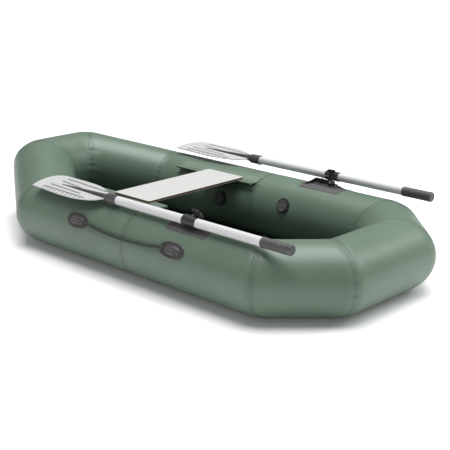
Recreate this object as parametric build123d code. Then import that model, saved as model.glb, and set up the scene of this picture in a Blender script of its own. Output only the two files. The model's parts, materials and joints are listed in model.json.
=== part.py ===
from build123d import *
import math
import os

# One-person inflatable rowing boat. Millimetres, +X to the stern, +Y to starboard, +Z up.
# The origin lies on the ground under the middle of the hull.

# ---- hull ring: centrelines of the air tubes
tube_radius = 140.0
fabric = 1.0
bow_x = -905.0
bow_half_width = 127.0
bow_rise = 82.0
bow_corner_x = -546.0
chamber_split_x = 102.0
stern_corner_x = 720.0
stern_x = 905.0
stern_half_width = 188.0
half_beam = 368.0
tape_width = 22.0
tape_thickness = 0.5
tape_floor_gap = 4.0
tape_reach_under = 10.0
tape_ground_gap = 3.0
floor_height = 12.0
floor_thickness = 1.0

# ---- seat and its rails
board_length = 215.0
board_end_gap = 11.148
board_thickness = 10.0
board_corner = 10.0
board_x = -94.0
board_below_tube_top = 20.0
rail_start_x = -380.0
rail_tape_gap = 3.0
rail_base = 2.5
rail_inner_angle = 52.0
rail_outer_angle = 22.0
ledge_thickness = 5.0
ledge_inset = 17.0
ledge_bite = 1.0
groove_start = 4.0
groove_step = 8.0
groove_count = 3
bead_radius = 4.5
rail_groove = 1.4
seat_gap = 0.3
clip_length = 150.0
clip_wall = 4.0
clip_plate = 3.0
clip_gap = 1.5
clip_flange = 30.0
screw_radius = 2.0
screw_head_radius = 4.0
screw_head = 2.2
screw_cover = 3.0
board_edge_round = 1.5
screws_per_clip = 3

# ---- valves
valve_aft_x = 280.0
valve_aft_angle = 66.0
valve_fore_x = -81.0
valve_fore_angle = 80.0
valve_flange_radius = 33.0
valve_flange_rise = 4.0
valve_rim_radius = 27.0
valve_rim_rise = 9.0
valve_barrel_radius = 20.0
valve_bore_radius = 17.0
valve_depth = 24.0
valve_seat = 3.0
valve_seat_hole = 11.0
vent_inset = 2.5
vent_radius = 1.5
spider_arm = 3.0
poppet_radius = 14.0
poppet_thickness = 3.0
poppet_stem_radius = 3.0
poppet_travel = 4.0
stem_clear = 3.0
stem_head = 2.0
spring_radius = 6.0
spring_wire = 1.6
cap_radius = 24.5
cap_thickness = 5.0
cap_gap = 0.3
cap_pocket_place = 11.5
cap_pocket_radius = 7.0
cap_pocket_depth = 1.0

# ---- grab ropes
rope_diameter = 11.0
rope_gap = 1.5
fitting_x = (-175.0, 379.0)
fitting_angle = 66.0
fitting_half_length = 62.0
fitting_half_width = 30.0
fitting_base = 2.0
boss_half_length = 38.0
boss_half_width = 18.0
boss_cover = 2.5
boss_round = 3.0
socket_depth = 22.0
mouth_clear = 5.0
# route of one rope: distance along the boat, and the angle from the top of the tube
rope_route = (
    (-157.0, 66.0),
    (-108.0, 66.0),
    (-46.0, 70.2),
    (36.0, 72.4),
    (118.0, 72.9),
    (190.0, 72.0),
    (252.0, 70.2),
    (311.0, 66.0),
    (361.0, 66.0),
)

# ---- oarlocks
oarlock_outboard = 18.0
stud_x = 420.0
pin_above_tube = 16.0
pin_radius = 3.0
oar_stud_gap = 9.5
rock_rest = {"port": 32.0, "starboard": 0.0}
rock_limit = 32.0
pad_fore_shift = 24.0
pad_length = 208.0
pad_half_width = 64.0
pad_thickness = 1.8
pad_corner = 9.0
back_root = 16.0
back_height = 10.0
back_top_share = 0.55
ridge_fore = 86.0
ridge_aft = 31.0
ridge_width = 10.0
ridge_root = 10.0
ridge_over_pin = 9.0
ridge_under_pin = 2.0
rib_inset = 5.0
rib_overlap = 6.0
rib_half_width = 3.5
rib_root = 50.0
rib_foot_inboard = 8.0
rib_foot_outboard = 28.0
bump_fore = 49.0
bump_over_pin = 2.0
bump_radius = 10.0
inner_half_edge = 3.0
collar_clearance = 1.0
ear_radius = 10.0
ear_outer = 13.0
ear_wall_overlap = 2.0
pin_end_wall = 2.0
pin_end_gap = 0.2
slot_floor_gap = 1.2
tongue_width = 13.6
tongue_gap = 0.3
tongue_radius = 9.0
tongue_half_depth = 6.0
neck_radius = 12.0
neck_gap = 1.0
neck_thickness = 3.0
stud_radius = 4.0
running_gap = 0.3
collar_wall = 2.5
collar_fore = 48.0
collar_aft = 20.0
collar_slot = 7.0
lug_radius = 16.0
lower_lug = 4.2
upper_lug = 5.5
knob_radius = 12.0
knob_height = 12.0
hub_radius = 8.0
hub_height = 9.0
wing_reach = 18.0
wing_height = 14.0
wing_thickness = 6.0
wing_round = 5.0
stud_in_knob = 18.7
stud_end_gap = 0.5

# ---- oars
shaft_radius = 17.5
shaft_wall = 1.5
shaft_start_x = -8.0
shaft_joint_x = 300.0
grip_start_x = 763.0
grip_end_x = 897.0
grip_wall = 2.0
grip_lip_wall = 4.0
grip_lip = 6.0
grip_cap = 8.0
fit_gap = 0.05
spigot_reach = 85.0
button_x = 275.0
button_radius = 3.5
button_proud = 2.0
button_travel = 2.5
button_flange_radius = 5.0
button_flange = 1.5
button_round = 1.5
spring_strip = 0.8
spring_half_top = 4.0
spring_leg = 38.0
spring_half_width = 3.0
spring_rest_gap = 1.6
socket_wall = 3.0
socket_lip_wall = 4.5
socket_lip = 5.0
socket_insert = 37.0
socket_end_x = -58.0
spine_end_x = -365.0
spine_root_radius = 12.5
spine_tip_radius = 3.0
blade_thickness = 4.0
blade_tip_x = -500.0
blade_root_x = -62.0
blade_half_low = 68.0
blade_half_high = 62.0
blade_roll = {"port": 16.0, "starboard": 10.0}

# ---- worked out from the sizes above
tube_top = 2 * tube_radius
board_bottom = tube_top - board_below_tube_top
ledge_inner_y = half_beam - tube_radius + ledge_inset
rail_surface_y = half_beam - math.sqrt((tube_radius + rail_base)**2 - (board_bottom - tube_radius)**2)
board_width = 2 * (rail_surface_y - board_end_gap)
rope_line_radius = tube_radius + rope_gap + rope_diameter / 2
boss_rise = rope_gap + rope_diameter + boss_cover
oarlock_y = half_beam + oarlock_outboard
pin_height = tube_top + pin_above_tube
pad_x = stud_x - pad_fore_shift
neck_bottom = ear_radius + neck_gap
lug_bottom = neck_bottom + neck_thickness + running_gap
oar_above_pin = lug_bottom + lower_lug + collar_slot / 2
oar_offset = shaft_radius + stud_radius + oar_stud_gap
knob_bottom = oar_above_pin + collar_slot / 2 + upper_lug + running_gap
stud_top = knob_bottom + stud_in_knob
collar_radius = shaft_radius + collar_wall
grip_radius = shaft_radius + grip_wall
grip_lip_radius = shaft_radius + grip_lip_wall
socket_radius = shaft_radius + socket_wall
socket_lip_radius = shaft_radius + socket_lip_wall
SIDES = {"port": -1.0, "starboard": 1.0}
ring = [
    Vector(bow_x, -bow_half_width, tube_radius + bow_rise),
    Vector(bow_x, bow_half_width, tube_radius + bow_rise),
    Vector(bow_corner_x, half_beam, tube_radius),
    Vector(chamber_split_x, half_beam, tube_radius),
    Vector(stern_corner_x, half_beam, tube_radius),
    Vector(stern_x, stern_half_width, tube_radius),
    Vector(stern_x, -stern_half_width, tube_radius),
    Vector(stern_corner_x, -half_beam, tube_radius),
    Vector(chamber_split_x, -half_beam, tube_radius),
    Vector(bow_corner_x, -half_beam, tube_radius),
]
ring_names = [
    "bow_tube",
    "bow_corner_starboard",
    "fore_side_starboard",
    "aft_side_starboard",
    "stern_corner_starboard",
    "stern_tube",
    "stern_corner_port",
    "aft_side_port",
    "fore_side_port",
    "bow_corner_port",
]
parts = {}


# ---- helpers
def heading(i):
    return (ring[(i + 1) % len(ring)] - ring[i % len(ring)]).normalized()


def mitre(i):
    return Plane(origin=ring[i % len(ring)], z_dir=heading(i - 1) + heading(i))


def rod(start, end, radius):
    axis = end - start
    plane = Plane(origin=start, z_dir=axis)
    return extrude(plane * Circle(radius), axis.length)


def tube_solid(i, radius, reach):
    start = ring[i] - heading(i) * reach
    end = ring[(i + 1) % len(ring)] + heading(i) * reach
    whole = rod(start, end, radius)
    whole = split(whole, bisect_by=mitre(i), keep=Keep.TOP)
    return split(whole, bisect_by=mitre(i + 1), keep=Keep.BOTTOM)


def side_tube(side, radius):
    """The straight side tube as one plain cylinder, longer than it is."""
    start = Vector(bow_corner_x, side * half_beam, tube_radius)
    end = Vector(stern_corner_x, side * half_beam, tube_radius)
    return rod(start, end, radius)


def on_tube(side, x, angle, inboard):
    """Plane on the side tube's surface line, facing out of the tube; local x runs aft."""
    lean = math.radians(angle)
    across = -side if inboard else side
    normal = Vector(0, across * math.sin(lean), math.cos(lean))
    centre = Vector(x, side * half_beam, tube_radius)
    return Plane(origin=centre, x_dir=(1, 0, 0), z_dir=normal)


def profile_plane(x):
    """Cross section of the boat: local x is the boat's Y, local y its Z."""
    return Plane(origin=(x, 0, 0), x_dir=(0, 1, 0), z_dir=(1, 0, 0))


def mirrored(shape, side):
    return shape if side > 0 else mirror(shape, about=Plane.XZ)


def block(low, high):
    size = [b - a for a, b in zip(low, high)]
    middle = [(a + b) / 2 for a, b in zip(low, high)]
    return Pos(*middle) * Box(*size)


# ---- hull
def floor_slab(thickness, height):
    """Floor before it is trimmed: flat from the bow corners aft, rising with the bow."""
    flat = [
        (bow_corner_x, -half_beam),
        (stern_corner_x, -half_beam),
        (stern_x, -stern_half_width),
        (stern_x, stern_half_width),
        (stern_corner_x, half_beam),
        (bow_corner_x, half_beam),
    ]
    level = Pos(0, 0, height) * extrude(make_face(Polyline(*flat, close=True)), thickness)
    rise = Vector(bow_x - bow_corner_x, 0, bow_rise)
    plane = Plane(origin=(bow_corner_x, 0, height), x_dir=rise, z_dir=(bow_rise, 0, bow_corner_x - bow_x))
    reach = rise.length
    side_points = [(0, -half_beam), (reach, -bow_half_width), (reach, bow_half_width), (0, half_beam)]
    slope = extrude(plane * make_face(Polyline(*side_points, close=True)), thickness)
    return level + slope


def make_hull():
    reach = 3 * tube_radius
    solids = [tube_solid(i, tube_radius, reach) for i in range(len(ring))]
    cores = [tube_solid(i, tube_radius - fabric, reach) for i in range(len(ring))]
    for i, name in enumerate(ring_names):
        parts[name] = solids[i] - cores[i]
    baffle = rod(Vector(0, 0, 0), Vector(fabric, 0, 0), tube_radius - fabric)
    baffles = [
        Pos(chamber_split_x - fabric / 2, side * half_beam, tube_radius) * baffle
        for side in SIDES.values()
    ]
    parts["chamber_baffles"] = Compound(baffles)
    floor = floor_slab(floor_thickness, floor_height - floor_thickness / 2)
    for solid in solids:
        floor = floor - solid
    parts["floor_sheet"] = floor
    make_tapes(reach)


def make_tapes(reach):
    """A band of tape over each mitre, trimmed clear of the floor sheet and of the ground."""
    covered = floor_slab(floor_height + tape_floor_gap + tape_reach_under, -tape_reach_under)
    ground = block((-2000, -1000, -2 * tape_reach_under), (2000, 1000, tape_ground_gap))
    bands = []
    for i in range(len(ring)):
        before = tube_solid((i - 1) % len(ring), tube_radius + tape_thickness, reach)
        after = tube_solid(i, tube_radius + tape_thickness, reach)
        both = before + after
        joint = mitre(i)
        both = split(both, bisect_by=joint.offset(-tape_width / 2), keep=Keep.TOP)
        both = split(both, bisect_by=joint.offset(tape_width / 2), keep=Keep.BOTTOM)
        for j in (i - 1, i):
            both = both - tube_solid(j % len(ring), tube_radius, reach)
        both = both - covered - ground
        bands += both.solids()
    parts["seam_tapes"] = Compound(bands)


# ---- seat
def make_rail(side):
    """Glued ribbed strip with a ledge that carries the board's end and a bead for the clip."""
    ledge_top = board_bottom - seat_gap
    centre = (half_beam, tube_radius)
    strip = Pos(*centre) * (Circle(tube_radius + rail_base) - Circle(tube_radius))
    inner = math.radians(rail_inner_angle)
    outer = math.radians(rail_outer_angle)
    far = 2 * tube_radius
    wedge = Polyline(
        centre,
        (half_beam - far * math.sin(inner), tube_radius + far * math.cos(inner)),
        (half_beam - far * math.sin(outer), tube_radius + far * math.cos(outer)),
        close=True,
    )
    strip = strip & make_face(wedge)
    drop = ledge_top - tube_radius
    outer_y = half_beam - math.sqrt(tube_radius**2 - drop**2) + ledge_bite
    width = outer_y - ledge_inner_y
    ledge_centre = (ledge_inner_y + width / 2, ledge_top - ledge_thickness / 2)
    ledge = Pos(*ledge_centre) * Rectangle(width, ledge_thickness)
    bead = Pos(ledge_inner_y + bead_radius, ledge_top - bead_radius) * Circle(bead_radius)
    shape = strip + ledge + bead - Pos(*centre) * Circle(tube_radius)
    for n in range(groove_count):
        groove_y = ledge_inner_y + 2 * bead_radius + groove_start + groove_step * n
        shape = shape - Pos(groove_y, ledge_top) * Rectangle(2 * rail_groove, 2 * rail_groove)
    rail_end_x = chamber_split_x - tape_width / 2 - rail_tape_gap
    rail = extrude(profile_plane(rail_start_x) * shape, rail_end_x - rail_start_x)
    return mirrored(rail, side)


def clip_screw_places(side):
    inner_y = ledge_inner_y - clip_gap - clip_wall
    step = clip_length / screws_per_clip
    for n in range(screws_per_clip):
        yield board_x + (n - (screws_per_clip - 1) / 2) * step, side * (inner_y - clip_flange / 2)


def make_clip(side):
    """Extruded hook under the board: flange, wall and a lip that reaches under the rail's bead."""
    wall_y = ledge_inner_y - clip_gap
    bead_bottom = board_bottom - seat_gap - 2 * bead_radius
    lip_top = bead_bottom - clip_gap
    lip_reach = wall_y + clip_gap + bead_radius
    points = [
        (wall_y - clip_wall - clip_flange, board_bottom),
        (wall_y, board_bottom),
        (wall_y, lip_top),
        (lip_reach, lip_top),
        (lip_reach, lip_top - clip_plate),
        (wall_y - clip_wall, lip_top - clip_plate),
        (wall_y - clip_wall, board_bottom - clip_plate),
        (wall_y - clip_wall - clip_flange, board_bottom - clip_plate),
    ]
    start = board_x - clip_length / 2
    clip = extrude(profile_plane(start) * make_face(Polyline(*points, close=True)), clip_length)
    for x, y in clip_screw_places(1.0):
        clip = clip - Pos(x, y, board_bottom) * Cylinder(screw_radius, 4 * clip_plate)
    return mirrored(clip, side)


def make_seat():
    middle = (board_x, 0, board_bottom + board_thickness / 2)
    board = Pos(*middle) * Box(board_length, board_width, board_thickness)
    board = fillet(board.edges().filter_by(Axis.Z), board_corner)
    board = fillet(board.faces().sort_by(Axis.Z)[-1].edges(), board_edge_round)
    screw_depth = board_thickness - screw_cover
    screws = []
    for side in SIDES.values():
        for x, y in clip_screw_places(side):
            board = board - Pos(x, y, board_bottom) * Cylinder(screw_radius, 2 * screw_depth)
            top = Vector(x, y, board_bottom + screw_depth)
            under = Vector(x, y, board_bottom - clip_plate)
            screw = rod(under, top, screw_radius)
            head = rod(under - Vector(0, 0, screw_head), under, screw_head_radius)
            screws.append((screw + head).solid())
    parts["seat_board"] = board
    parts["seat_screws"] = Compound(screws)
    for name, side in SIDES.items():
        parts["seat_clip_" + name] = make_clip(side)
        parts["seat_rail_" + name] = make_rail(side)


# ---- valves, on the starboard inner wall
def make_valve(name, x, angle):
    plane = on_tube(1.0, x, angle, True)
    skin = side_tube(1.0, tube_radius)

    def disc(radius, low, high):
        return extrude(plane.offset(tube_radius + low) * Circle(radius), high - low)

    flange = disc(valve_flange_radius, -valve_depth / 2, valve_flange_rise)
    rim = disc(valve_rim_radius, 0, valve_rim_rise)
    body = (flange + rim) - skin
    body = body + disc(valve_barrel_radius, -valve_depth, valve_flange_rise)
    seat_top = -valve_depth + valve_seat
    body = body - disc(valve_bore_radius, seat_top, valve_rim_rise)
    cap_bottom = valve_rim_rise - cap_thickness
    body = body - disc(cap_radius + cap_gap, cap_bottom, valve_rim_rise)
    body = body - disc(valve_seat_hole, -valve_depth, seat_top)
    for turn in range(4):
        hole = Pos(valve_seat_hole + vent_inset, 0) * Circle(vent_radius)
        hole = Rot(0, 0, 90 * turn + 45) * hole
        body = body - extrude(plane.offset(tube_radius - valve_depth) * hole, valve_seat)

    poppet_top = -valve_depth - running_gap
    poppet = disc(poppet_radius, poppet_top - poppet_thickness, poppet_top)
    stem_top = cap_bottom - stem_clear
    poppet = poppet + disc(poppet_stem_radius, poppet_top - 1, stem_top)
    poppet = poppet + disc(2.5 * poppet_stem_radius, stem_top - stem_head, stem_top)
    parts["valve_poppet_" + name] = poppet

    spring_low = seat_top + running_gap
    spring_high = stem_top - stem_head - running_gap
    coil = disc(spring_radius + spring_wire / 2, spring_low, spring_high)
    parts["valve_spring_" + name] = coil - disc(spring_radius - spring_wire / 2, spring_low, spring_high)

    spider_low = -valve_depth + 1
    spider_plane = plane.offset(tube_radius + spider_low)
    arm_length = 2 * valve_seat_hole + 1
    cross = Rectangle(arm_length, spider_arm) + Rectangle(spider_arm, arm_length)
    spider = extrude(spider_plane * (cross + Circle(spring_radius + 1.2)), seat_top - spider_low)
    spider = spider & disc(valve_seat_hole, spider_low, seat_top)
    spider = spider - disc(poppet_stem_radius + running_gap, -valve_depth, seat_top)
    parts["valve_body_" + name] = body + spider

    cap = disc(cap_radius, cap_bottom + cap_gap, valve_rim_rise + 1)
    for turn in range(4):
        pocket = Rot(0, 0, 90 * turn) * (Pos(cap_pocket_place, cap_pocket_place) * Circle(cap_pocket_radius))
        cap = cap - extrude(plane.offset(tube_radius + valve_rim_rise - cap_pocket_depth) * pocket, 3)
    parts["valve_cap_" + name] = cap
    hole = disc(valve_barrel_radius, -valve_depth, 5)
    parts["aft_side_starboard" if x > chamber_split_x else "fore_side_starboard"] -= hole


# ---- grab ropes
def make_fittings(side):
    """Oval rubber patches with a raised boss that holds the rope's end."""
    skin = side_tube(side, tube_radius)
    over = side_tube(side, tube_radius + fitting_base)
    solids = []
    for x, inward in zip(fitting_x, (1, -1)):
        plane = on_tube(side, x, fitting_angle, False)
        patch = extrude(plane * Ellipse(fitting_half_length, fitting_half_width), 2 * tube_radius)
        patch = patch & (over - skin)
        boss = extrude(plane * Ellipse(boss_half_length, boss_half_width), tube_radius + boss_rise)
        top = boss.faces().sort_by(Axis((0, 0, 0), plane.z_dir))[-1]
        boss = fillet(top.edges(), boss_round) - skin
        mouth = plane.from_local_coords((inward * (boss_half_length + mouth_clear), 0, rope_line_radius))
        bottom = plane.from_local_coords((inward * (boss_half_length - socket_depth), 0, rope_line_radius))
        solids.append((patch + boss - rod(Vector(*bottom), Vector(*mouth), rope_diameter / 2)).solid())
    return Compound(solids)


def make_rope(side):
    points = []
    for x, angle in rope_route:
        lean = math.radians(angle)
        y = side * (half_beam + rope_line_radius * math.sin(lean))
        points.append(Vector(x, y, tube_radius + rope_line_radius * math.cos(lean)))
    runs = [b - a for a, b in zip(points, points[1:])]
    radii = []
    for before, after in zip(runs, runs[1:]):
        turn = math.radians(before.get_angle(after))
        radii.append(0.45 * min(before.length, after.length) / math.tan(turn / 2))
    route = FilletPolyline(*points, radius=radii)
    print("rope radii", [round(r) for r in radii], "length", round(route.length, 1))
    section = Plane(origin=route @ 0, z_dir=route % 0) * Circle(rope_diameter / 2)
    rope = sweep(section, path=route)
    print("rope volume ratio", round(rope.volume / (route.length * math.pi * rope_diameter**2 / 4), 5))
    return rope


# ---- oarlocks: built upright on the starboard side, then mirrored and rocked
def hip_rib(end_x, top, reach, across):
    """Rib from one end of the ridge down to a corner of the pad."""
    corner_x = pad_x + reach * (pad_length / 2 - rib_inset)
    corner = Vector(corner_x, oarlock_y + across * (pad_half_width - rib_inset), 0)
    start = Vector(end_x - reach * rib_overlap, oarlock_y, 0)
    run = corner - start
    plane = Plane(origin=start, x_dir=run, z_dir=run.cross(Vector(0, 0, 1)))
    foot = tube_top - (rib_foot_inboard if across < 0 else rib_foot_outboard)
    root = tube_top - rib_root
    outline = Polyline((0, root), (0, top), (run.length, foot), (run.length, root), close=True)
    return extrude(plane * make_face(outline), rib_half_width, both=True)


def hipped_back():
    """Low hipped block with a ridge along the boat, ribs to its corners and a round boss."""
    lean = math.asin((oarlock_y - half_beam) / tube_radius)
    up = Vector(0, math.sin(lean), math.cos(lean))
    seat = Plane(origin=Vector(pad_x, half_beam, tube_radius) + up * tube_radius, x_dir=(1, 0, 0), z_dir=up)
    low = seat.offset(-back_root) * Rectangle(pad_length - 2 * rib_inset, 2 * (pad_half_width - rib_inset))
    high = seat.offset(back_height) * Rectangle(back_top_share * pad_length, ridge_width + 2)
    body = loft([low.face(), high.face()])
    fore_x = stud_x - ridge_fore
    aft_x = stud_x + ridge_aft
    half = ridge_width / 2
    root = tube_top - ridge_root
    body = body + block(
        (fore_x, oarlock_y - half, root),
        (stud_x - ear_outer, oarlock_y + half, pin_height + ridge_over_pin),
    )
    body = body + block(
        (stud_x + ear_outer - ear_wall_overlap, oarlock_y - half, root),
        (aft_x, oarlock_y + half, pin_height - ridge_under_pin),
    )
    for across in (-1, 1):
        body = body + hip_rib(fore_x, pin_height + ridge_over_pin, -1, across)
        body = body + hip_rib(aft_x, pin_height - ridge_under_pin, 1, across)
    boss = Vector(stud_x - bump_fore, oarlock_y, pin_height + bump_over_pin)
    reach = Vector(0, bump_radius, 0)
    return body + rod(boss - reach, boss + reach, bump_radius)


def oarlock_base(side):
    """Glued rubber pad with a hipped, ribbed back and two ears for the rock pin."""
    skin = side_tube(1.0, tube_radius)
    over = side_tube(1.0, tube_radius + pad_thickness)
    footprint = RectangleRounded(pad_length, 2 * pad_half_width, pad_corner)
    outline = Pos(pad_x, oarlock_y, tube_radius) * footprint
    column = extrude(outline, 2 * tube_radius)
    body = hipped_back()

    limit = math.radians(rock_limit)
    outward = Vector(0, math.sin(limit), math.cos(limit))
    clear = oar_above_pin - collar_radius - collar_clearance
    pin_centre = Vector(stud_x, oarlock_y, pin_height)
    cut = Plane(origin=pin_centre + outward * clear, x_dir=(1, 0, 0), z_dir=outward)
    sheared = split(body, bisect_by=cut, keep=Keep.BOTTOM)
    inner_half = block(
        (pad_x - pad_length, oarlock_y - 2 * pad_half_width, tube_radius),
        (pad_x + pad_length, oarlock_y + inner_half_edge, 3 * tube_radius),
    )
    body = ((body & inner_half) + sheared) & column

    ear_reach = Vector(ear_outer, 0, 0)
    body = body + rod(pin_centre - ear_reach, pin_centre + ear_reach, ear_radius)
    body = body + block(
        (stud_x - ear_outer, oarlock_y - ear_radius, tube_top - ridge_root),
        (stud_x + ear_outer, oarlock_y + ear_radius, pin_height),
    )
    half_slot = tongue_width / 2 + tongue_gap
    slot_floor = pin_height - tongue_radius - slot_floor_gap
    body = body - block(
        (stud_x - half_slot, oarlock_y - 3 * ear_radius, slot_floor),
        (stud_x + half_slot, oarlock_y + 3 * ear_radius, pin_height + 3 * ear_radius),
    )
    bore_end = pin_centre + Vector(ear_outer - pin_end_wall, 0, 0)
    body = body - rod(pin_centre - ear_reach * 1.1, bore_end, pin_radius)
    return mirrored(((column & (over - skin)) + body) - skin, side)


def rock_pin(side):
    pin = rod(
        Vector(stud_x - ear_outer, oarlock_y, pin_height),
        Vector(stud_x + ear_outer - pin_end_wall - pin_end_gap, oarlock_y, pin_height),
        pin_radius,
    )
    return mirrored(pin, side)


def swivel():
    """Tongue on the rock pin, neck disc and threaded stud."""
    centre = Vector(stud_x, oarlock_y, pin_height)
    half = Vector(tongue_width / 2, 0, 0)
    tongue = rod(centre - half, centre + half, tongue_radius)
    neck_low = centre + Vector(0, 0, neck_bottom)
    tongue = tongue + block(
        (stud_x - tongue_width / 2, oarlock_y - tongue_half_depth, pin_height),
        (stud_x + tongue_width / 2, oarlock_y + tongue_half_depth, pin_height + neck_bottom),
    )
    neck = rod(neck_low, neck_low + Vector(0, 0, neck_thickness), neck_radius)
    stud = rod(neck_low, centre + Vector(0, 0, stud_top), stud_radius)
    bore = rod(centre - half * 1.1, centre + half * 1.1, pin_radius + fit_gap)
    return tongue + neck + stud - bore


def collar():
    """Split sleeve round the oar, with two lugs on the stud."""
    oar_y = oarlock_y + oar_offset
    oar_z = pin_height + oar_above_pin
    start = Vector(stud_x - collar_fore, oar_y, oar_z)
    end = Vector(stud_x + collar_aft, oar_y, oar_z)
    whole = rod(start, end, collar_radius)
    slot_low = oar_z - collar_slot / 2
    slot_high = oar_z + collar_slot / 2
    for low, high in ((pin_height + lug_bottom, slot_low), (slot_high, slot_high + upper_lug)):
        whole = whole + block((stud_x - lug_radius, oarlock_y, low), (stud_x + lug_radius, oar_y, high))
        whole = whole + rod(Vector(stud_x, oarlock_y, low), Vector(stud_x, oarlock_y, high), lug_radius)
    slot_reach = 2 * collar_fore
    whole = whole - block(
        (stud_x - slot_reach, oarlock_y - 2 * lug_radius, slot_low),
        (stud_x + slot_reach, oar_y, slot_high),
    )
    reach = Vector(collar_aft, 0, 0)
    whole = whole - rod(start - reach, end + reach, shaft_radius + fit_gap)
    stud_low = Vector(stud_x, oarlock_y, pin_height)
    return whole - rod(stud_low, stud_low + Vector(0, 0, stud_top), stud_radius + running_gap)


def knob():
    """Clamp knob with two wings."""
    low = pin_height + knob_bottom
    base = Vector(stud_x, oarlock_y, low)
    top = base + Vector(0, 0, knob_height)
    wings = Pos(*top) * Pos(0, 0, wing_height / 2) * Box(2 * wing_reach, wing_thickness, wing_height)
    wings = fillet(wings.edges().filter_by(Axis.Y), wing_round)
    body = rod(base, top, knob_radius) + wings + rod(top, top + Vector(0, 0, hub_height), hub_radius)
    hole_top = base + Vector(0, 0, stud_in_knob + stud_end_gap)
    return body - rod(base - Vector(0, 0, 1), hole_top, stud_radius + fit_gap)


def rocked(shape, name):
    """Mirror an upright starboard piece to its side and rock it outboard to its resting angle."""
    side = SIDES[name]
    line = Axis((0, side * oarlock_y, pin_height), (1, 0, 0))
    return mirrored(shape, side).rotate(line, -side * rock_rest[name])


# ---- oars
def oar_centre(name):
    rest = math.radians(rock_rest[name])
    out = oar_offset * math.cos(rest) + oar_above_pin * math.sin(rest)
    up = oar_above_pin * math.cos(rest) - oar_offset * math.sin(rest)
    return Vector(0, SIDES[name] * (oarlock_y + out), pin_height + up)


def turned(points):
    """Solid turned about the oar's axis from a list of (x, radius)."""
    closed = [(points[0][0], 0)] + list(points) + [(points[-1][0], 0)]
    return revolve(Plane.XZ * make_face(Polyline(*closed, close=True)), Axis.X)


def socket_outer():
    return turned((
        (shaft_start_x, socket_lip_radius),
        (shaft_start_x - socket_lip, socket_lip_radius),
        (shaft_start_x - socket_lip, socket_radius),
        (socket_end_x, socket_radius),
        (socket_end_x - 25, spine_root_radius),
        (spine_end_x, spine_tip_radius),
    ))


def blade_plate():
    """Flat blade: pointed corner low at the tip, rounded corner high, waist at the socket."""
    low = blade_half_low
    high = blade_half_high
    under = Spline(
        (blade_root_x, -9),
        (blade_root_x - 48, -0.6 * low),
        (blade_root_x - 125, -0.92 * low),
        (blade_root_x - 240, -low),
        (blade_tip_x, -0.86 * low),
    )
    end = Spline(
        (blade_tip_x, -0.86 * low),
        (blade_tip_x + 8, 0.08 * high),
        (blade_tip_x + 45, 0.78 * high),
        (blade_tip_x + 120, high),
    )
    upper = Spline(
        (blade_tip_x + 120, high),
        (blade_root_x - 130, 0.93 * high),
        (blade_root_x - 48, 0.58 * high),
        (blade_root_x, 9),
    )
    root = Line((blade_root_x, 9), (blade_root_x, -9))
    return extrude(make_face([under, end, upper, root]), blade_thickness / 2, both=True)


def make_oar(name):
    centre = oar_centre(name)
    place = Pos(*centre)
    roll = Rot(blade_roll[name], 0, 0)
    bore_end = shaft_start_x - socket_insert
    socket = socket_outer()
    blade = blade_plate() - socket
    socket = socket - rod(Vector(bore_end, 0, 0), Vector(shaft_start_x + 1, 0, 0), shaft_radius + fit_gap)
    parts["oar_blade_" + name] = place * roll * blade
    parts["oar_socket_" + name] = place * roll * socket

    bore = shaft_radius - shaft_wall
    joint = Vector(shaft_joint_x, 0, 0)
    lower_start = Vector(bore_end + 1, 0, 0)
    lower = rod(lower_start, joint, shaft_radius) - rod(lower_start, joint, bore)
    grip_inside = Vector(grip_end_x - grip_cap, 0, 0)
    upper = rod(joint, grip_inside, shaft_radius) - rod(joint, grip_inside, bore)
    spigot_outer = bore - fit_gap
    reach = Vector(spigot_reach, 0, 0)
    spigot = rod(joint - reach, joint + reach, spigot_outer)
    spigot = spigot - rod(joint - reach, joint + reach, spigot_outer - shaft_wall)
    button_axis = Vector(button_x, 0, 0)
    button_hole = rod(button_axis, button_axis + Vector(0, 0, 30), button_radius + running_gap)
    parts["lower_shaft_" + name] = place * (lower - button_hole)
    parts["upper_shaft_" + name] = place * upper
    parts["shaft_spigot_" + name] = place * (spigot - button_hole)

    inside = spigot_outer - shaft_wall
    flange_top = math.sqrt(inside**2 - button_flange_radius**2) - running_gap
    flange_low = flange_top - button_flange
    proud = shaft_radius + button_proud
    button = rod(button_axis + Vector(0, 0, flange_low), button_axis + Vector(0, 0, proud), button_radius)
    button = fillet(button.faces().sort_by(Axis.Z)[-1].edges(), button_round)
    button = button + rod(
        button_axis + Vector(0, 0, flange_low),
        button_axis + Vector(0, 0, flange_top),
        button_flange_radius,
    )
    parts["snap_button_" + name] = place * button

    spring_top = flange_low - running_gap
    rest = -inside + spring_rest_gap
    end = button_x + spring_half_top
    leaf = make_face(Polyline(
        (end, spring_top),
        (button_x - spring_half_top, spring_top),
        (button_x - spring_leg, rest),
        (end, rest),
        (end, rest + spring_strip),
        (button_x - spring_leg + 5 * spring_strip, rest + spring_strip),
        (button_x - spring_half_top + spring_strip / 2, spring_top - spring_strip),
        (end, spring_top - spring_strip),
        close=True,
    ))
    parts["button_spring_" + name] = place * extrude(Plane.XZ * leaf, spring_half_width, both=True)

    grip = turned((
        (grip_start_x, grip_lip_radius),
        (grip_start_x + grip_lip, grip_lip_radius),
        (grip_start_x + grip_lip, grip_radius),
        (grip_end_x - grip_lip, grip_radius),
        (grip_end_x - grip_lip, grip_lip_radius),
        (grip_end_x, grip_lip_radius),
    ))
    grip = grip - rod(Vector(grip_start_x - 1, 0, 0), grip_inside, shaft_radius + fit_gap)
    parts["oar_grip_" + name] = place * grip


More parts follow.
